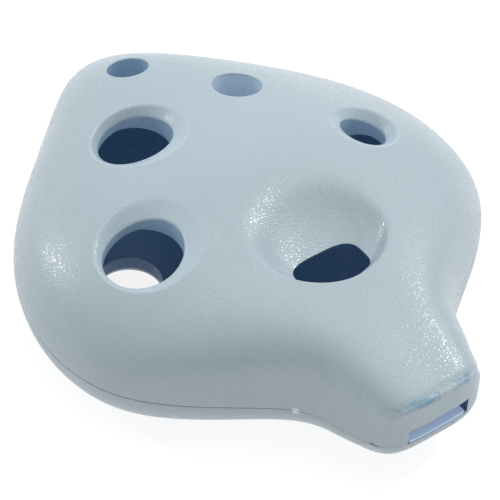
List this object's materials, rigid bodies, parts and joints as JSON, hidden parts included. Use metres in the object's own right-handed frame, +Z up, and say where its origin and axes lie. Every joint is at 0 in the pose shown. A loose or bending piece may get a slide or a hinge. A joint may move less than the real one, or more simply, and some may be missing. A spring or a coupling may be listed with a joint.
{
  "type": "ocarina",
  "caption": "Pendant ocarina in grey-blue moulded plastic: domed upper shell with finger holes and dished window, flat lower shell, sloping windway block.",
  "frame": {"origin": "under the middle of the object's outline, on the surface it lies on", "axes": "+Z up out of the finger holes, -Y out of the mouthpiece, +X to the player's right hand side of the dome seen from above with the mouthpiece at the bottom"},
  "size_m": [0.0602, 0.0732, 0.0201],
  "materials": {
    "shell_plastic": "fine spark-eroded texture, satin",
    "block_plastic": "plain satin"
  },
  "bodies": {
    "root": {"upper_shell": "shell_plastic", "lower_shell": "shell_plastic", "windway_block": "block_plastic"}
  },
  "joints": []
}
